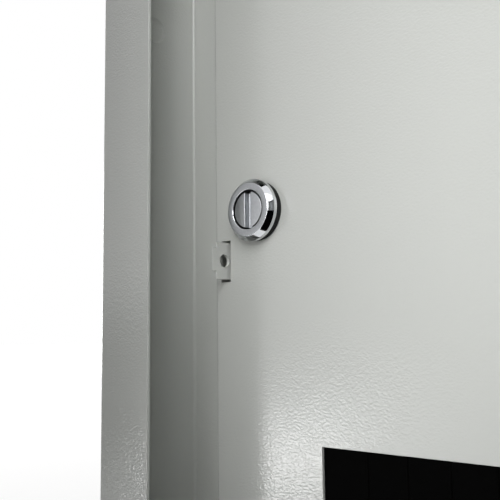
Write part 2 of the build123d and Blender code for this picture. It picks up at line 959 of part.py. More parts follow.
def make_gland_gasket():
    """The rubber frame between the gland plate and the bottom wall."""
    z0 = -wall_inner_z
    z1 = z0 + gland_gasket_thickness
    return gland_sheet(z0, z1) - block(
        -gland_opening_width / 2, gland_opening_width / 2,
        gland_y - gland_opening_depth / 2, gland_y + gland_opening_depth / 2,
        z0, z1,
    )


def make_gland_plate():
    """The removable plate that carries the cable grommets."""
    z0 = -wall_inner_z + gland_gasket_thickness
    z1 = z0 + gland_plate_thickness
    plate = gland_sheet(z0, z1)
    for x in grommet_xs():
        plate -= rod_z(x, gland_y, z0, z1, grommet_seat_radius + running_clearance)
    return plate


def make_gland_screws():
    """Screws that hold the gland plate, from the inside."""
    seat = -wall_inner_z + gland_gasket_thickness + gland_plate_thickness
    return group(
        rod_z(x, y, seat, seat + screw_head_height, screw_head_radius)
        + rod_z(x, y, -half_height, seat, screw_radius)
        for x, y in gland_screw_places()
    )


def make_cable_grommets():
    """Open rubber bushes in the gland plate."""
    z0 = -wall_inner_z + gland_gasket_thickness
    z1 = z0 + gland_plate_thickness
    return group(
        rod_z(x, gland_y, z0, z1, grommet_seat_radius)
        + rod_z(x, gland_y, z0 - grommet_lip, z0, grommet_lip_radius)
        + rod_z(x, gland_y, z1, z1 + grommet_lip, grommet_lip_radius)
        - rod_z(x, gland_y, z0 - grommet_lip, z1 + grommet_lip, grommet_bore_radius)
        for x in grommet_xs()
    )


# Earth stud on the rear sheet


def make_earth_stud():
    """The body's earthing stud."""
    x = -plate_width / 2 - earth_stud_from_plate
    z = -half_height + earth_stud_from_bottom
    return rod_y(x, z, -sheet - earth_stud_length, -sheet, earth_stud_radius)


def make_earth_nuts():
    """Two nuts on the earthing stud."""
    x = -plate_width / 2 - earth_stud_from_plate
    z = -half_height + earth_stud_from_bottom
    nuts = []
    for n in range(2):
        y1 = -sheet - n * (earth_nut_thickness + fastener_gap)
        y0 = y1 - earth_nut_thickness
        nut = hexagon_y(x, z, y0, y1, earth_nut_across_flats)
        nuts.append(nut - rod_y(x, z, y0, y1, earth_stud_radius + running_clearance))
    return group(nuts)


def same_place(part):
    """A piece that is modelled where it lies at rest."""
    return part


pieces = {
    "body_shell": make_body_shell(),
    "rear_panel": make_rear_panel(),
    "frame_upright_left": make_frame_upright(-1),
    "frame_upright_right": make_frame_upright(1),
    "frame_rail_top": make_frame_rail(1),
    "frame_rail_bottom": make_frame_rail(-1),
    "seal_lug": make_seal_lug(),
    "mounting_plate": make_mounting_plate(),
    "plate_studs": make_plate_studs(),
    "plate_spacers": make_plate_spacers(),
    "plate_nuts": make_plate_nuts(),
    "device_frame_left": make_device_frame(-1),
    "device_frame_right": make_device_frame(1),
    "device_frame_screws": make_device_frame_screws(),
    "din_rail_upper": make_rail(window_centre_height),
    "din_rail_lower": make_rail(-window_centre_height),
    "rail_screws": make_rail_screws(),
    "neutral_bar": make_bar(max(bar_levels())),
    "earth_bar": make_bar(min(bar_levels())),
    "bar_supports": make_bar_supports(),
    "bar_screws": make_bar_screws(),
    "gland_plate": make_gland_plate(),
    "gland_gasket": make_gland_gasket(),
    "gland_screws": make_gland_screws(),
    "cable_grommets": make_cable_grommets(),
    "earth_stud": make_earth_stud(),
    "earth_nuts": make_earth_nuts(),
    "inner_door_panel": make_inner_door_panel(),
    "window_blank_upper": make_window_blank(window_centre_height),
    "window_blank_lower": make_window_blank(-window_centre_height),
    "window_studs": make_window_studs(),
    "window_clips": make_window_clips(),
    "outer_door_shell": opened(make_outer_door_shell()),
    "outer_door_gasket": opened(make_outer_door_gasket()),
    "outer_door_stiffener_left": opened(make_outer_door_stiffener(-stiffener_from_centre)),
    "outer_door_stiffener_right": opened(make_outer_door_stiffener(stiffener_from_centre)),
}

outer_hinge_levels = [-outer_hinge_height, outer_hinge_height]
inner_hinge_levels = [-inner_hinge_height, inner_hinge_height]
pieces["outer_hinge_body_leaves"] = group(make_outer_leaf_body(z) for z in outer_hinge_levels)
pieces["outer_hinge_door_leaves"] = group(opened(make_outer_leaf_door(z)) for z in outer_hinge_levels)
pieces["outer_hinge_pins"] = group(make_hinge_pin(outer_axis, z) for z in outer_hinge_levels)
pieces["inner_hinge_brackets"] = group(make_inner_bracket(z) for z in inner_hinge_levels)
pieces["inner_hinge_door_leaves"] = group(make_inner_leaf_door(z) for z in inner_hinge_levels)
pieces["inner_hinge_pins"] = group(make_hinge_pin(inner_axis, z) for z in inner_hinge_levels)

inner_cam_y = frame_back_y + cam_frame_gap
pieces["inner_lock_gasket"] = make_lock_gasket(inner_lock_x, 0, door_front_y)
pieces["inner_lock_nut"] = make_lock_nut(inner_lock_x, 0, door_back_y)
add_lock(pieces, "inner_lock", inner_lock_x, 0, door_front_y, inner_cam_y, same_place)

outer_cam_y = flange_back_y + cam_frame_gap
outer_lock_levels = [-outer_lock_height, outer_lock_height]
pieces["outer_lock_gaskets"] = group(
    opened(make_lock_gasket(outer_lock_x, z, outer_front_y)) for z in outer_lock_levels
)
pieces["outer_lock_nuts"] = group(
    opened(make_lock_nut(outer_lock_x, z, outer_back_y)) for z in outer_lock_levels
)
for z, name in zip(outer_lock_levels, ("outer_lock_lower", "outer_lock_upper")):
    add_lock(pieces, name, outer_lock_x, z, outer_front_y, outer_cam_y, opened)

os.makedirs("parts", exist_ok=True)
for name, piece in pieces.items():
    export_step(piece, "parts/" + name + ".step")
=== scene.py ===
import json
import math

import bmesh
import bpy
from mathutils import Matrix, Vector


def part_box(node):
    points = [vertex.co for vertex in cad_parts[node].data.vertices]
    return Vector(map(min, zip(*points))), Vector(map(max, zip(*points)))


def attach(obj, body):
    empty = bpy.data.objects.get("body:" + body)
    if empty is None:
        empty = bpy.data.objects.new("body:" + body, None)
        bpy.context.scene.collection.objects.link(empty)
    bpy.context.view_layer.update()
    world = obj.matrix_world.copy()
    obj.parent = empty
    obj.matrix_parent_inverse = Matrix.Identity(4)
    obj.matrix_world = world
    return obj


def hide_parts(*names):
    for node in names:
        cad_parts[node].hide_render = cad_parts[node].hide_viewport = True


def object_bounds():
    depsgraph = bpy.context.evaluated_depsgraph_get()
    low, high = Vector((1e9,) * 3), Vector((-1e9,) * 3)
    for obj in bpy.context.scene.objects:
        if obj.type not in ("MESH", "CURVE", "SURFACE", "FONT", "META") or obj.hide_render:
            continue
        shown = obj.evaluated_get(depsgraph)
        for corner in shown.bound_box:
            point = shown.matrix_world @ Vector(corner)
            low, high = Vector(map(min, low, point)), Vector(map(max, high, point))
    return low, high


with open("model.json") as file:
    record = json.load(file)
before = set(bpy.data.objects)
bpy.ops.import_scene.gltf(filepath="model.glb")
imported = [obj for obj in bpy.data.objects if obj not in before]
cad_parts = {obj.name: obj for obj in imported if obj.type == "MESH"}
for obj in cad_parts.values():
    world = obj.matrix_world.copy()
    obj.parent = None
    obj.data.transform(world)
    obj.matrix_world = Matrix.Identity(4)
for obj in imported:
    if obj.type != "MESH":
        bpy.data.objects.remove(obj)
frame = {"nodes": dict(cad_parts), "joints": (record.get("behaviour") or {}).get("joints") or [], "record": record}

cad_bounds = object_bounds()
scene = bpy.context.scene
nodes = frame["nodes"]
joints = {joint["name"]: joint for joint in frame["joints"]}
slot_of = {part["node"]: part["material_slot"] for part in frame["record"]["subparts"]}
body_of = {
    node: body
    for body, members in frame["record"]["behaviour"]["bodies"].items()
    for node in members
}
dressed = set()

MM = 0.001

# Camera, solved from the photograph: place from the inner lock, aim and lens
CAMERA_FROM_LOCK = Vector((0.22436, -0.24390, -0.05632))
CAMERA_YAW = math.radians(43.355)
CAMERA_PITCH = math.radians(6.728)
CAMERA_ROLL = math.radians(-0.7067)
CAMERA_LENS = 54.36
CAMERA_SENSOR = 36.0

# Lock head, seen from its axis at the door's front
LOCK_FLANGE_RADIUS = 13.8 * MM
LOCK_FACE_RADIUS = 11.8 * MM
LOCK_FLANGE_HEIGHT = 5.5 * MM
LOCK_FACE_HEIGHT = 7.8 * MM
LOCK_BORE_RADIUS = 8.8 * MM
LOCK_HEAD_DEPTH = 4.6 * MM
LOCK_GASKET_RADIUS = 13.2 * MM
LOCK_GASKET_HEIGHT = 3.7 * MM
LOCK_FLANK_BULGE = 0.05 * MM
LOCK_FLANK_STEPS = 9
LOCK_FACE_EDGE = 0.2 * MM
LOCK_RIM_EDGE = 0.15 * MM
LOCK_GASKET_EDGE = 0.5 * MM
LOCK_THREAD_RADIUS = 11.0 * MM
LOCK_THREAD_EDGE = 0.4 * MM
LOCK_SHAFT_RADIUS = 6.05 * MM
INSERT_RADIUS = 8.0 * MM
INSERT_RECESS = 0.4 * MM
INSERT_SHAFT_RADIUS = 6.0 * MM
INSERT_SEAT_GAP = 0.2 * MM
INSERT_EDGE = 0.3 * MM
INSERT_END_EDGE = 0.2 * MM
SLOT_WIDTH = 3.6 * MM
SLOT_DEPTH = 3.0 * MM
SLOT_ROUND = 0.3 * MM
SLOT_STEPS = 6
SLOT_EDGE = 0.16 * MM
SLOT_EDGE_ANGLE = math.radians(50)
SLOT_OVERSHOOT = 2.0 * MM
CAM_THICKNESS = 2.5 * MM

# Seal lug
LUG_THICKNESS = 1.5 * MM
LUG_STEP = 2.4 * MM
LUG_TIP_HEIGHT = 10.6 * MM
LUG_TIP_RISE = 0.5 * MM
LUG_HOLE_RADIUS = 2.9 * MM
LUG_HOLE_FROM_TIP = 7.3 * MM
LUG_HOLE_STEPS = 48
LUG_EDGE = 0.18 * MM

# Height at which an upright's rounded bend ends
UPRIGHT_END = 246.0 * MM

# Edge rounding of the sheets and small parts
SHEET_EDGE = 0.22 * MM
PART_EDGE = 0.3 * MM
EDGE_SEGMENTS = 2
SHARP_ANGLE = math.radians(18)
ROUNDED_ANGLE = math.radians(20)
FLAT_ANGLE = math.radians(0.5)

# Fineness of turned shapes and arcs, and distances taken as none
TURN_STEPS = 96
ARC_STEPS = 3
WELD_DISTANCE = 0.002 * MM
SEAM_DISTANCE = 0.0001 * MM
NEAR = 0.01 * MM

# Studio: an even light for all but the camera and reflections, and a floor that brightens with distance
WORLD_LIGHT = 0.05
FLOOR_REACH = 40.0
FLOOR_GAP = 0.5 * MM
FLOOR_LIFT = 0.8
FLOOR_LIFT_START = 0.7
FLOOR_LIFT_END = 1.6
CAMERA_CLIP = 10.0 * MM

# Front lamps: name, place, target, width, height, power, spread
FRONT_LAMPS = (
    ("front_upper", (0.24, -0.50, 0.45), (-0.04, -0.143, 0.20), 0.30, 0.30, 0.178, 45),
    ("front_middle", (0.20, -0.60, 0.22), (0.02, -0.143, 0.10), 0.30, 0.36, 0.213, 40),
    ("front_low", (0.10, -0.60, -0.12), (0.02, -0.143, -0.08), 0.30, 0.30, 0.146, 40),
    ("tall_strip", (0.36, -0.64, 0.21), (-0.19, -0.16, 0.05), 0.07, 0.36, 0.014, 24),
)

# Low lamps that the inner door mirrors at the photograph's lower right, written the same way
SHEEN_LAMPS = (
    ("sheen_left", (-0.51, -0.590, -0.205), (-0.11, -0.143, -0.11), 0.16, 0.08, 0.0118, 36),
    ("sheen_right", (-0.43, -0.634, -0.20), (-0.09, -0.143, -0.09), 0.20, 0.085, 0.0078, 50),
    ("sheen_top", (-0.47, -0.615, -0.13), (-0.07, -0.143, -0.08), 0.26, 0.06, 0.0050, 50),
)

# Level lamps for the sides, the back and the top, written the same way
FILL_LAMPS = (
    ("left_fill", (-1.9, 0.60, 0.15), (-0.2, 0.0, 0.05), 1.0, 0.6, 1.1, 44),
    ("right_fill", (1.9, 0.80, 0.15), (0.25, -0.2, 0.05), 1.0, 0.6, 1.9, 50),
    ("back_fill", (0.0, 2.0, 0.30), (0, 0, 0.03), 1.0, 0.6, 1.8, 50),
    ("top_fill", (0.1, 0.3, 1.5), (0, -0.05, 0.25), 0.6, 0.6, 0.34, 32),
)

# Black cards: name, distance from the inner lock, azimuth to the right, elevation, width, height
FLAGS = (
    ("flag_right", 0.24, 49, -36, 0.18, 0.31),
    ("flag_over", 0.50, -16, 80, 0.17, 0.12),
    ("flag_left", 0.74, -52, -9, 0.16, 0.20),
)


# Material helpers


class Tree:
    """A material's node tree, with short calls for the nodes used here."""

    def __init__(self, name):
        self.material = bpy.data.materials.new(name)
        self.material.use_nodes = True
        self.tree = self.material.node_tree
        self.bsdf = self.tree.nodes["Principled BSDF"]
        self.coords = self.tree.nodes.new("ShaderNodeTexCoord").outputs["Object"]

    def link(self, source, target):
        self.tree.links.new(source, target)

    def value(self, socket, number):
        self.bsdf.inputs[socket].default_value = number

    def scaled(self, factors):
        """The object's coordinates, stretched by a factor on each axis."""
        node = self.tree.nodes.new("ShaderNodeMapping")
        node.inputs["Scale"].default_value = factors
        self.link(self.coords, node.inputs["Vector"])
        return node.outputs["Vector"]

    def noise(self, scale, detail=2.0, rough=0.5, vector=None):
        node = self.tree.nodes.new("ShaderNodeTexNoise")
        node.inputs["Scale"].default_value = scale
        node.inputs["Detail"].default_value = detail
        node.inputs["Roughness"].default_value = rough
        self.link(vector or self.coords, node.inputs["Vector"])
        return node.outputs["Fac"]

    def cells(self, scale, feature="SMOOTH_F1", output="Distance"):
        node = self.tree.nodes.new("ShaderNodeTexVoronoi")
        node.feature = feature
        node.inputs["Scale"].default_value = scale
        self.link(self.coords, node.inputs["Vector"])
        return node.outputs[output]

    def wavy(self, scale, reach, factors):
        """The object's coordinates, stretched and pushed about by a slow noise."""
        stretched = self.scaled(factors)
        node = self.tree.nodes.new("ShaderNodeTexNoise")
        node.inputs["Scale"].default_value = scale
        self.link(stretched, node.inputs["Vector"])
        push = self.tree.nodes.new("ShaderNodeVectorMath")
        push.operation = "MULTIPLY_ADD"
        push.inputs[1].default_value = (reach, reach, reach)
        self.link(node.outputs["Color"], push.inputs[0])
        self.link(stretched, push.inputs[2])
        return push.outputs["Vector"]

    def spread(self, source, low, high, from_low=0.0, from_high=1.0):
        """A value mapped from one range to another."""
        node = self.tree.nodes.new("ShaderNodeMapRange")
        node.inputs["From Min"].default_value = from_low
        node.inputs["From Max"].default_value = from_high
        node.inputs["To Min"].default_value = low
        node.inputs["To Max"].default_value = high
        self.link(source, node.inputs["Value"])
        return node.outputs["Result"]

    def blend(self, source, low, high):
        """A colour between two colours."""
        node = self.tree.nodes.new("ShaderNodeMix")
        node.data_type = "RGBA"
        node.inputs[6].default_value = (*low, 1)
        node.inputs[7].default_value = (*high, 1)
        self.link(source, node.inputs[0])
        return node.outputs[2]

    def math(self, operation, first, second):
        node = self.tree.nodes.new("ShaderNodeMath")
        node.operation = operation
        for socket, value in zip(node.inputs, (first, second)):
            if isinstance(value, (int, float)):
                socket.default_value = value
            else:
                self.link(value, socket)
        return node.outputs[0]

    def radius(self):
        """Distance from the object's own Y axis."""
        flat = self.scaled((1, 0, 1))
        node = self.tree.nodes.new("ShaderNodeVectorMath")
        node.operation = "LENGTH"
        self.link(flat, node.inputs[0])
        return node.outputs["Value"]

    def bump(self, height, distance, strength=1.0, below=None):
        node = self.tree.nodes.new("ShaderNodeBump")
        node.inputs["Distance"].default_value = distance
        node.inputs["Strength"].default_value = strength
        self.link(height, node.inputs["Height"])
        if below is not None:
            self.link(below, node.inputs["Normal"])
        self.link(node.outputs["Normal"], self.bsdf.inputs["Normal"])
        return node.outputs["Normal"]

    def colour(self, source):
        self.link(source, self.bsdf.inputs["Base Color"])

    def roughness(self, source):
        self.link(source, self.bsdf.inputs["Roughness"])


def linear(r, g, b):
    """A colour written as it looks on screen, from 0 to 255, in linear light."""
    def one(c):
        c /= 255
        return c / 12.92 if c <= 0.04045 else ((c + 0.055) / 1.055) ** 2.4
    return one(r), one(g), one(b)


# Materials

PAINT_LOW = linear(200, 202, 198)
PAINT_HIGH = linear(202, 204, 200)
PAINT_ROUGH = 0.08
PAINT_ROUGH_SPREAD = 0.015
PEEL_STRETCH = (0.76, 0.76, 1.15)
PEEL_SCALE = 1000
PEEL_HEIGHT = 0.115 * MM
PEEL_BEND_SCALE = 260
PEEL_BEND_REACH = 1.1 * MM
TURNING_MARK_RATE = 22000.0


def make_paint():
    """Light grey powder coat with an orange-peel skin."""
    t = Tree("powder_coat")
    t.colour(t.blend(t.noise(9, detail=1), PAINT_LOW, PAINT_HIGH))
    low, high = PAINT_ROUGH - PAINT_ROUGH_SPREAD, PAINT_ROUGH + PAINT_ROUGH_SPREAD
    t.roughness(t.spread(t.noise(40, detail=1), low, high))
    bent = t.wavy(PEEL_BEND_SCALE, PEEL_BEND_REACH, PEEL_STRETCH)
    peel = t.noise(PEEL_SCALE, detail=1.5, rough=0.45, vector=bent)
    t.bump(peel, PEEL_HEIGHT)
    t.value("IOR", 1.5)
    return t.material


def make_galvanised():
    """Zinc-coated sheet with its pale crystal patches."""
    t = Tree("galvanised_sheet")
    patches = t.cells(90, feature="F1", output="Color")
    t.colour(t.blend(patches, linear(168, 171, 173), linear(190, 193, 194)))
    t.roughness(t.spread(t.noise(120, detail=3), 0.32, 0.48))
    t.bump(t.noise(700, detail=3), 0.03 * MM, 0.4)
    t.value("Metallic", 1.0)
    return t.material


def make_zinc():
    """Bright zinc plate on small parts."""
    t = Tree("bright_zinc")
    t.colour(t.blend(t.noise(90, detail=3), linear(186, 188, 188), linear(206, 208, 207)))
    t.roughness(t.spread(t.noise(500, detail=3), 0.22, 0.36))
    t.bump(t.noise(2500, detail=2), 0.01 * MM, 0.5)
    t.value("Metallic", 1.0)
    return t.material


def make_mirror_chrome():
    """Polished chrome plate with faint turning marks."""
    t = Tree("mirror_chrome")
    t.colour(t.blend(t.noise(150, detail=2), linear(214, 216, 219), linear(224, 226, 229)))
    t.roughness(t.spread(t.noise(400, detail=2), 0.035, 0.075))
    rings = t.math("SINE", t.math("MULTIPLY", t.radius(), TURNING_MARK_RATE), 0.0)
    first = t.bump(rings, 0.004 * MM, 0.25)
    t.bump(t.noise(450, detail=2), 0.02 * MM, 0.25, below=first)
    t.value("Metallic", 1.0)
    return t.material


def make_satin_chrome():
    """Blasted and plated face of a lock."""
    t = Tree("satin_chrome")
    grain = t.noise(2600, detail=2)
    t.colour(t.blend(t.noise(900, detail=3), linear(157, 159, 162), linear(180, 182, 185)))
    t.roughness(t.spread(grain, 0.30, 0.44))
    t.bump(grain, 0.02 * MM, 0.6)
    t.value("Metallic", 1.0)
    return t.material


def make_painted_shade_recess():
    """Near-black colour painted into the gap round a lock's insert: painted shade standing in for the shadow down
    in that gap.
    """
    t = Tree("painted_shade_recess")
    t.colour(t.blend(t.noise(600, detail=2), linear(16, 16, 17), linear(30, 30, 31)))
    t.roughness(t.spread(t.noise(900, detail=2), 0.45, 0.6))
    t.bump(t.noise(1500, detail=2), 0.01 * MM, 0.4)
    return t.material


def make_rubber():
    """Matt black rubber."""
    t = Tree("black_rubber")
    t.colour(t.blend(t.noise(300, detail=3), linear(14, 14, 14), linear(24, 24, 23)))
    t.roughness(t.spread(t.noise(900, detail=2), 0.62, 0.78))
    t.bump(t.noise(1800, detail=2), 0.03 * MM, 0.4)
    t.value("Specular IOR Level", 0.3)
    return t.material


def make_foam():
    """Closed-cell foam of the door seal."""
    t = Tree("seal_foam")
    t.colour(t.blend(t.noise(400, detail=4), linear(34, 34, 34), linear(52, 52, 51)))
    t.roughness(t.spread(t.noise(900, detail=2), 0.82, 0.95))
    t.bump(t.cells(1500), 0.12 * MM, 0.7)
    t.value("Specular IOR Level", 0.2)
    return t.material


def make_painted_shade_strip():
    """Matt black window strip whose near-black colour is painted shade, standing in for the unlit inside seen
    through the windows.
    """
    t = Tree("painted_shade_black_plastic")
    t.colour(t.blend(t.noise(500, detail=3), linear(3, 3, 3), linear(6, 6, 6)))
    t.roughness(t.spread(t.noise(800, detail=2), 0.75, 0.9))
    t.bump(t.noise(2200, detail=2), 0.02 * MM, 0.4)
    t.value("Specular IOR Level", 0.02)
    return t.material


def make_brass():
    """Plain brass with a light tarnish."""
    t = Tree("terminal_brass")
    t.colour(t.blend(t.noise(70, detail=4), linear(196, 160, 92), linear(214, 184, 118)))
    t.roughness(t.spread(t.noise(350, detail=3), 0.26, 0.42))
    t.bump(t.noise(900, detail=2, vector=t.scaled((0.08, 1, 1))), 0.02 * MM, 0.4)
    t.value("Metallic", 1.0)
    return t.material


def make_insulator():
    """Grey moulded insulator."""
    t = Tree("moulded_insulator")
    t.colour(t.blend(t.noise(200, detail=3), linear(92, 97, 96), linear(102, 107, 106)))
    t.roughness(t.spread(t.noise(700, detail=2), 0.42, 0.55))
    t.bump(t.noise(2000, detail=2), 0.02 * MM, 0.4)
    return t.material


def make_flag_black():
    """Black felt of the studio cards."""
    t = Tree("flag_black")
    t.colour(t.blend(t.noise(40, detail=2), linear(8, 8, 8), linear(14, 14, 14)))
    t.value("Roughness", 1.0)
    t.value("Specular IOR Level", 0.0)
    return t.material


materials = {
    "paint": make_paint(),
    "galvanised": make_galvanised(),
    "zinc_fastener": make_zinc(),
    "chrome": make_mirror_chrome(),
    "rubber": make_rubber(),
    "foam": make_foam(),
    # The window strips' near-black colour is painted shade for the unlit inside behind the windows
    "black_plastic": make_painted_shade_strip(),
    "brass": make_brass(),
    "insulator": make_insulator(),
}
satin_chrome = make_satin_chrome()
# Near-black painted shade for the gap round each lock's insert
painted_shade_recess = make_painted_shade_recess()
flag_black = make_flag_black()


# Geometry helpers


def dress(piece, node):
    """The piece stands for a node: it rides on its body, takes its finish and hides it."""
    if not piece.data.materials:
        piece.data.materials.append(materials[slot_of[node]])
    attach(piece, body_of[node])
    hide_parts(node)
    dressed.add(node)


def new_piece(name, mesh):
    piece = bpy.data.objects.new(name, mesh)
    scene.collection.objects.link(piece)
    return piece


def shade_smooth(mesh):
    mesh.polygons.foreach_set("use_smooth", [True] * len(mesh.polygons))


def shade_by_angle(mesh):
    """Smooth shading that keeps the sharp edges."""
    shade_smooth(mesh)
    mesh.set_sharp_from_angle(angle=SHARP_ANGLE)


def mesh_from(work, name):
    """A mesh made of a bmesh, which is then freed."""
    mesh = bpy.data.meshes.new(name)
    work.to_mesh(mesh)
    work.free()
    return mesh


def aim(thing, place, target):
    """Puts a lamp or card at a place, turned toward a target."""
    thing.location = place
    ahead = Vector(target) - Vector(place)
    thing.rotation_euler = ahead.to_track_quat("-Z", "Y").to_euler()


def is_rounded(edge, node):
    """True for a sharp edge, but not at the ends of the frame's uprights, where the bend runs out."""
    if not edge.is_manifold or edge.calc_face_angle() < ROUNDED_ANGLE:
        return False
    middle = (edge.verts[0].co + edge.verts[1].co) / 2
    return not (node.startswith("frame_upright") and abs(middle.z) > UPRIGHT_END)


def rounded_copy(node, width):
    """A copy of a node's mesh with its sharp edges softly rounded."""
    mesh = nodes[node].data.copy()
    mesh.materials.clear()
    work = bmesh.new()
    work.from_mesh(mesh)
    bmesh.ops.remove_doubles(work, verts=work.verts, dist=WELD_DISTANCE)
    bmesh.ops.dissolve_limit(work, angle_limit=FLAT_ANGLE, verts=work.verts, edges=work.edges)
    work.normal_update()
    weight = work.edges.layers.float.new("bevel_weight_edge")
    for edge in work.edges:
        edge[weight] = float(is_rounded(edge, node))
    work.to_mesh(mesh)
    work.free()
    piece = new_piece(node + "_finish", mesh)
    bevel = piece.modifiers.new("edge", "BEVEL")
    bevel.width = width
    bevel.segments = EDGE_SEGMENTS
    bevel.limit_method = "WEIGHT"
    bevel.use_clamp_overlap = False
    normals = piece.modifiers.new("flat_faces", "WEIGHTED_NORMAL")
    normals.weight = 100
    shade_smooth(mesh)
    dress(piece, node)


def lathe(name, profile, slots=None):
    """A closed profile of (radius, y) points turned round the Y axis."""
    work = bmesh.new()
    rings = []
    for n in range(TURN_STEPS):
        a = 2 * math.pi * n / TURN_STEPS
        rings.append([work.verts.new((r * math.cos(a), y, r * math.sin(a))) for r, y in profile])
    count = len(profile)
    for n in range(TURN_STEPS):
        here, there = rings[n], rings[(n + 1) % TURN_STEPS]
        for k in range(count):
            m = (k + 1) % count
            face = work.faces.new((here[k], here[m], there[m], there[k]))
            if slots:
                face.material_index = slots[k]
    bmesh.ops.recalc_face_normals(work, faces=work.faces)
    mesh = mesh_from(work, name)
    shade_by_angle(mesh)
    return new_piece(name, mesh)


def rounded_profile(corners):
    """A profile of (radius, y, rounding) corners, with an arc at each rounded corner."""
    points = []
    count = len(corners)
    for n, (r, y, size) in enumerate(corners):
        here = Vector((r, y))
        if not size:
            points.append(tuple(here))
            continue
        before = (Vector(corners[n - 1][:2]) - here).normalized()
        after = (Vector(corners[(n + 1) % count][:2]) - here).normalized()
        half = before.angle(after) / 2
        start = here + before * size / math.tan(half)
        end = here + after * size / math.tan(half)
        centre = here + (before + after).normalized() * size / math.sin(half)
        for k in range(ARC_STEPS + 1):
            spoke = (start - centre).slerp(end - centre, k / ARC_STEPS).normalized() * size
            points.append(tuple(centre + spoke))
    return points


def lock_place(joint_name):
    """Origin and directions of a lock: Y into the door, Z up."""
    joint = joints[joint_name]
    y = Vector(joint["axis"]).normalized()
    z = Vector((0, 0, 1))
    x = y.cross(z)
    place = Matrix((x, y, z)).transposed().to_4x4()
    place.translation = Vector(joint["pos_m"])
    return place


def furthest(node, place):
    """How far a node reaches into the door along a lock's Y axis."""
    back = place.inverted()
    return max((back @ v.co).y for v in nodes[node].data.vertices)


# Locks


def bulged_flank():
    """Points of the slightly rounded cone between a lock's face and its rim."""
    span = Vector((LOCK_FLANGE_RADIUS - LOCK_FACE_RADIUS, LOCK_FACE_HEIGHT - LOCK_FLANGE_HEIGHT))
    out = Vector((span.y, -span.x)).normalized()
    points = []
    for n in range(1, LOCK_FLANK_STEPS):
        along_span = n / LOCK_FLANK_STEPS
        rise = 4 * along_span * (1 - along_span) * LOCK_FLANK_BULGE
        spot = Vector((LOCK_FACE_RADIUS, -LOCK_FACE_HEIGHT)) + span * along_span + out * rise
        points.append((spot.x, spot.y, 0))
    return points


def bezel_finish(start, end):
    """Material index of a stretch of the housing's profile: satin face, near-black painted shade in the bore round
    the insert, or bright chrome.
    """
    near_face = -LOCK_FACE_HEIGHT + NEAR
    if start[1] < near_face and end[1] < near_face:
        return 1
    recess = -LOCK_FACE_HEIGHT + INSERT_RECESS
    inside = max(start[0], end[0]) < LOCK_BORE_RADIUS + NEAR
    # Stretches down in the bore round the insert get the near-black painted shade
    if inside and max(start[1], end[1]) > recess:
        return 2
    return 0


def make_lock_bezel(name, place):
    """The housing: bevelled flange, threaded barrel and stepped bore."""
    node = name + "_bezel"
    end = furthest(node, place)
    corners = [
        (LOCK_BORE_RADIUS, -LOCK_FACE_HEIGHT, LOCK_FACE_EDGE),
        (LOCK_FACE_RADIUS, -LOCK_FACE_HEIGHT, LOCK_FACE_EDGE),
        *bulged_flank(),
        (LOCK_FLANGE_RADIUS, -LOCK_FLANGE_HEIGHT, LOCK_RIM_EDGE),
        (LOCK_FLANGE_RADIUS, -LOCK_GASKET_HEIGHT, LOCK_RIM_EDGE),
        (LOCK_THREAD_RADIUS, -LOCK_GASKET_HEIGHT, 0),
        (LOCK_THREAD_RADIUS, end, LOCK_THREAD_EDGE),
        (LOCK_SHAFT_RADIUS, end, LOCK_FACE_EDGE),
        (LOCK_SHAFT_RADIUS, -LOCK_FACE_HEIGHT + LOCK_HEAD_DEPTH, 0),
        (LOCK_BORE_RADIUS, -LOCK_FACE_HEIGHT + LOCK_HEAD_DEPTH, 0),
    ]
    profile = rounded_profile(corners)
    slots = [bezel_finish(p, q) for p, q in zip(profile, profile[1:] + profile[:1])]
    piece = lathe(name + "_housing", profile, slots=slots)
    # The third material is the near-black painted shade for the bore round the insert
    for material in (materials["chrome"], satin_chrome, painted_shade_recess):
        piece.data.materials.append(material)
    piece.matrix_world = place
    dress(piece, node)


def insert_disc_and_shaft(name, end):
    """The core before its slot is cut, turned in one go."""
    seat = -LOCK_FACE_HEIGHT + LOCK_HEAD_DEPTH - INSERT_SEAT_GAP
    head = -LOCK_FACE_HEIGHT + INSERT_RECESS
    profile = rounded_profile([
        (0.0, head, 0),
        (INSERT_RADIUS, head, INSERT_EDGE),
        (INSERT_RADIUS, seat, 0),
        (INSERT_SHAFT_RADIUS, seat, 0),
        (INSERT_SHAFT_RADIUS, end - CAM_THICKNESS, INSERT_END_EDGE),
        (0.0, end - CAM_THICKNESS, 0),
    ])
    work = bmesh.new()
    verts = [work.verts.new((r, y, 0)) for r, y in profile]
    edges = [work.edges.new(pair) for pair in zip(verts, verts[1:])]
    bmesh.ops.spin(
        work, geom=verts + edges, cent=(0, 0, 0), axis=(0, 1, 0),
        angle=2 * math.pi, steps=TURN_STEPS, use_merge=True,
    )
    bmesh.ops.remove_doubles(work, verts=work.verts, dist=SEAM_DISTANCE)
    bmesh.ops.recalc_face_normals(work, faces=work.faces)
    return new_piece(name + "_core", mesh_from(work, name + "_core"))


def make_lock_insert(name, place):
    """The slotted core: disc and shaft with the slot cut out and its edges rounded."""
    node = name + "_insert"
    core = insert_disc_and_shaft(name, furthest(node, place))
    cutter = slot_cutter(-LOCK_FACE_HEIGHT + INSERT_RECESS)
    cut = core.modifiers.new("slot", "BOOLEAN")
    cut.operation = "DIFFERENCE"
    cut.object = cutter
    cut.solver = "EXACT"
    apply_modifiers(core)
    bpy.data.objects.remove(cutter)
    shade_by_angle(core.data)
    bevel = core.modifiers.new("edge", "BEVEL")
    bevel.width = SLOT_EDGE
    bevel.segments = EDGE_SEGMENTS
    bevel.limit_method = "ANGLE"
    bevel.angle_limit = SLOT_EDGE_ANGLE
    bevel.use_clamp_overlap = False
    core.data.materials.append(satin_chrome)
    core.matrix_world = place
    dress(core, node)


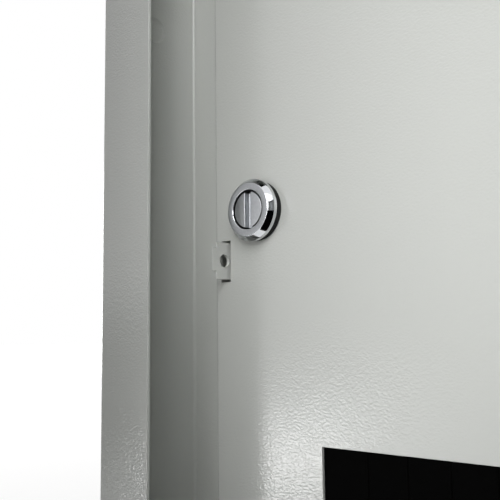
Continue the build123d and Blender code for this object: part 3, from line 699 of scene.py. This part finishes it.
def slot_cutter(head):
    """A bar with one rounded bottom edge, as long as the head is wide."""
    half = SLOT_WIDTH / 2
    bottom = head + SLOT_DEPTH
    section = [(-half, head - SLOT_OVERSHOOT), (half, head - SLOT_OVERSHOOT), (half, bottom)]
    for n in range(SLOT_STEPS + 1):
        turn = math.pi / 2 * n / SLOT_STEPS
        x = -half + SLOT_ROUND * (1 - math.sin(turn))
        section.append((x, bottom - SLOT_ROUND * (1 - math.cos(turn))))
    work = bmesh.new()
    reach = INSERT_RADIUS + SLOT_OVERSHOOT
    low = [work.verts.new((x, y, -reach)) for x, y in section]
    high = [work.verts.new((x, y, reach)) for x, y in section]
    work.faces.new(low)
    work.faces.new(high)
    for n in range(len(section)):
        m = (n + 1) % len(section)
        work.faces.new((low[n], low[m], high[m], high[n]))
    bmesh.ops.recalc_face_normals(work, faces=work.faces)
    return new_piece("slot_cutter", mesh_from(work, "slot_cutter"))


def apply_modifiers(piece):
    """Turns a piece's modifiers into its mesh."""
    graph = bpy.context.evaluated_depsgraph_get()
    mesh = bpy.data.meshes.new_from_object(piece.evaluated_get(graph))
    piece.modifiers.clear()
    piece.data = mesh


def make_lock_gasket(name, node, places):
    """The rubber rings under the lock flanges, with a soft outer edge."""
    corners = [
        (LOCK_THREAD_RADIUS, -LOCK_GASKET_HEIGHT, 0),
        (LOCK_GASKET_RADIUS, -LOCK_GASKET_HEIGHT, LOCK_GASKET_EDGE),
        (LOCK_GASKET_RADIUS, 0, LOCK_GASKET_EDGE),
        (LOCK_THREAD_RADIUS, 0, 0),
    ]
    for n, place in enumerate(places):
        piece = lathe(f"{name}_{n + 1}", rounded_profile(corners))
        piece.matrix_world = place
        dress(piece, node)


def lug_rings(low, high):
    """The blade's outline and its hole, as (y, z) points."""
    front, back = low.y, high.y
    shoulder = front + LUG_STEP
    middle = (low.z + high.z) / 2
    tip_low = middle + LUG_TIP_RISE - LUG_TIP_HEIGHT / 2
    tip_high = middle + LUG_TIP_RISE + LUG_TIP_HEIGHT / 2
    outline = [
        (back, low.z), (shoulder, low.z), (shoulder, tip_low), (front, tip_low),
        (front, tip_high), (shoulder, tip_high), (shoulder, high.z), (back, high.z),
    ]
    hole_y = front + LUG_HOLE_FROM_TIP
    turns = [2 * math.pi * n / LUG_HOLE_STEPS for n in range(LUG_HOLE_STEPS)]
    hole = [(hole_y + LUG_HOLE_RADIUS * math.cos(a), middle + LUG_HOLE_RADIUS * math.sin(a)) for a in turns]
    return outline, hole


def make_lug_blade(low, high):
    """The lug's blade, a flat outline with a round hole, given its thickness and soft edges."""
    curve = bpy.data.curves.new("seal_lug_outline", "CURVE")
    curve.dimensions = "2D"
    curve.fill_mode = "BOTH"
    curve.extrude = LUG_THICKNESS / 2 - LUG_EDGE
    curve.bevel_depth = LUG_EDGE
    curve.bevel_resolution = 2
    curve.offset = -LUG_EDGE
    for ring in lug_rings(low, high):
        spline = curve.splines.new("POLY")
        spline.points.add(len(ring) - 1)
        spline.use_cyclic_u = True
        for point, (y, z) in zip(spline.points, ring):
            point.co = (y, z, 0, 1)
    holder = new_piece("seal_lug_outline", curve)
    mesh = bpy.data.meshes.new_from_object(holder.evaluated_get(bpy.context.evaluated_depsgraph_get()))
    bpy.data.objects.remove(holder)
    middle_x = high.x - LUG_THICKNESS / 2
    mesh.transform(Matrix(((0, 0, 1, middle_x), (1, 0, 0, 0), (0, 1, 0, 0), (0, 0, 0, 1))))
    mesh.materials.clear()
    shade_by_angle(mesh)
    dress(new_piece("seal_lug_blade", mesh), "seal_lug")


def make_lug_foot(low, high):
    """The lug's foot, flat on the frame behind the blade."""
    blade_left = high.x - LUG_THICKNESS
    work = bmesh.new()
    bmesh.ops.create_cube(work, size=1.0)
    for vert in work.verts:
        vert.co.x = low.x if vert.co.x < 0 else blade_left
        vert.co.y = high.y - LUG_THICKNESS if vert.co.y < 0 else high.y
        vert.co.z = low.z if vert.co.z < 0 else high.z
    outer_edges = [edge for edge in work.edges if all(vert.co.x < blade_left - NEAR for vert in edge.verts)]
    bmesh.ops.bevel(work, geom=outer_edges, offset=LUG_EDGE, segments=EDGE_SEGMENTS, affect="EDGES")
    mesh = mesh_from(work, "seal_lug_foot")
    shade_by_angle(mesh)
    dress(new_piece("seal_lug_foot", mesh), "seal_lug")


def make_lug():
    """The drilled seal lug: blade and foot."""
    low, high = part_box("seal_lug")
    make_lug_blade(low, high)
    make_lug_foot(low, high)


def make_locks():
    """The heads of the three locks."""
    for name in ("inner_lock", "outer_lock_lower", "outer_lock_upper"):
        place = lock_place(name + "_turn")
        make_lock_bezel(name, place)
        make_lock_insert(name, place)
    make_lock_gasket("inner_lock_ring", "inner_lock_gasket", [lock_place("inner_lock_turn")])
    outer_places = [lock_place("outer_lock_lower_turn"), lock_place("outer_lock_upper_turn")]
    make_lock_gasket("outer_lock_ring", "outer_lock_gaskets", outer_places)


# Sheets and the rest


def dress_nodes():
    """Every node that the locks and the lug leave gets its finish and rounded edges."""
    for name in nodes:
        if name not in dressed:
            rounded_copy(name, SHEET_EDGE if slot_of[name] in ("paint", "galvanised") else PART_EDGE)


# Light, floor and camera


def add_lamp(name, place, target, width, height, power, spread):
    """A soft rectangular lamp aimed at a point."""
    data = bpy.data.lights.new(name, "AREA")
    data.shape = "RECTANGLE"
    data.size = width
    data.size_y = height
    data.energy = power
    data.spread = math.radians(spread)
    lamp = bpy.data.objects.new(name, data)
    scene.collection.objects.link(lamp)
    aim(lamp, place, target)
    lamp.visible_camera = False


def add_flag(name, place, target, width, height):
    """A black studio card that only reflections see."""
    mesh = bpy.data.meshes.new(name)
    x, y = width / 2, height / 2
    mesh.from_pydata([(-x, -y, 0), (x, -y, 0), (x, y, 0), (-x, y, 0)], [], [(0, 1, 2, 3)])
    mesh.materials.append(flag_black)
    flag = new_piece(name, mesh)
    aim(flag, place, target)
    flag.visible_camera = False
    flag.visible_diffuse = False
    flag.visible_transmission = False
    flag.visible_shadow = False


def make_flags():
    """Black cards that give the polished lock its dark edges and the front flange its lower shade."""
    lock = Vector(joints["inner_lock_turn"]["pos_m"])
    for name, reach, azimuth, elevation, width, height in FLAGS:
        flat = reach * math.cos(math.radians(elevation))
        place = lock + Vector((
            flat * math.sin(math.radians(azimuth)),
            -flat * math.cos(math.radians(azimuth)),
            reach * math.sin(math.radians(elevation)),
        ))
        add_flag(name, place, lock, width, height)


def make_world():
    """Plain white for the camera and for reflections, and a weak even light for the rest."""
    world = bpy.data.worlds.new("studio")
    scene.world = world
    world.use_nodes = True
    tree = world.node_tree
    back = tree.nodes["Background"]
    back.inputs["Color"].default_value = (1, 1, 1, 1)
    path = tree.nodes.new("ShaderNodeLightPath")
    seen = tree.nodes.new("ShaderNodeMath")
    seen.operation = "MAXIMUM"
    tree.links.new(path.outputs["Is Camera Ray"], seen.inputs[0])
    tree.links.new(path.outputs["Is Glossy Ray"], seen.inputs[1])
    strength = tree.nodes.new("ShaderNodeMapRange")
    strength.inputs["To Min"].default_value = WORLD_LIGHT
    strength.inputs["To Max"].default_value = 1.0
    tree.links.new(seen.outputs[0], strength.inputs["Value"])
    tree.links.new(strength.outputs["Result"], back.inputs["Strength"])


def make_floor():
    """A plain pale floor that looks white where it is lit and keeps the shadow."""
    low = cad_bounds[0].z - FLOOR_GAP
    reach = FLOOR_REACH
    mesh = bpy.data.meshes.new("floor")
    corners = [(-reach, -reach, low), (reach, -reach, low), (reach, reach, low), (-reach, reach, low)]
    mesh.from_pydata(corners, [], [(0, 1, 2, 3)])
    floor = new_piece("floor", mesh)
    t = Tree("pale_floor")
    t.colour(t.blend(t.noise(2, detail=2), linear(196, 196, 195), linear(200, 200, 199)))
    t.value("Roughness", 0.9)
    t.value("Specular IOR Level", 0.1)
    path = t.tree.nodes.new("ShaderNodeLightPath")
    seen = t.math("MAXIMUM", path.outputs["Is Camera Ray"], path.outputs["Is Glossy Ray"])
    away = t.tree.nodes.new("ShaderNodeVectorMath")
    away.operation = "LENGTH"
    t.link(t.coords, away.inputs[0])
    lift = t.spread(away.outputs["Value"], FLOOR_LIFT, 1.0, FLOOR_LIFT_START, FLOOR_LIFT_END)
    t.bsdf.inputs["Emission Color"].default_value = (1, 1, 1, 1)
    t.link(t.math("MULTIPLY", seen, lift), t.bsdf.inputs["Emission Strength"])
    mesh.materials.append(t.material)


def make_camera():
    """The photograph's view."""
    data = bpy.data.cameras.new("photo_view")
    data.lens = CAMERA_LENS
    data.sensor_width = CAMERA_SENSOR
    data.clip_start = CAMERA_CLIP
    camera = bpy.data.objects.new("photo_view", data)
    scene.collection.objects.link(camera)
    ahead = Vector((
        -math.sin(CAMERA_YAW) * math.cos(CAMERA_PITCH),
        math.cos(CAMERA_YAW) * math.cos(CAMERA_PITCH),
        math.sin(CAMERA_PITCH),
    ))
    level = Vector((math.cos(CAMERA_YAW), math.sin(CAMERA_YAW), 0))
    up = level.cross(ahead)
    right = math.cos(CAMERA_ROLL) * level + math.sin(CAMERA_ROLL) * up
    up = -math.sin(CAMERA_ROLL) * level + math.cos(CAMERA_ROLL) * up
    turn = Matrix((right, up, -ahead)).transposed().to_4x4()
    turn.translation = Vector(joints["inner_lock_turn"]["pos_m"]) + CAMERA_FROM_LOCK
    camera.matrix_world = turn
    scene.camera = camera


def make_lights():
    """Soft lamps at the front right, low ones for the door's sheen, and fill for the other sides."""
    for lamp in FRONT_LAMPS + SHEEN_LAMPS + FILL_LAMPS:
        add_lamp(*lamp)


make_locks()
make_lug()
dress_nodes()
make_camera()
make_world()
make_floor()
make_flags()
make_lights()
scene.view_settings.view_transform = "Standard"
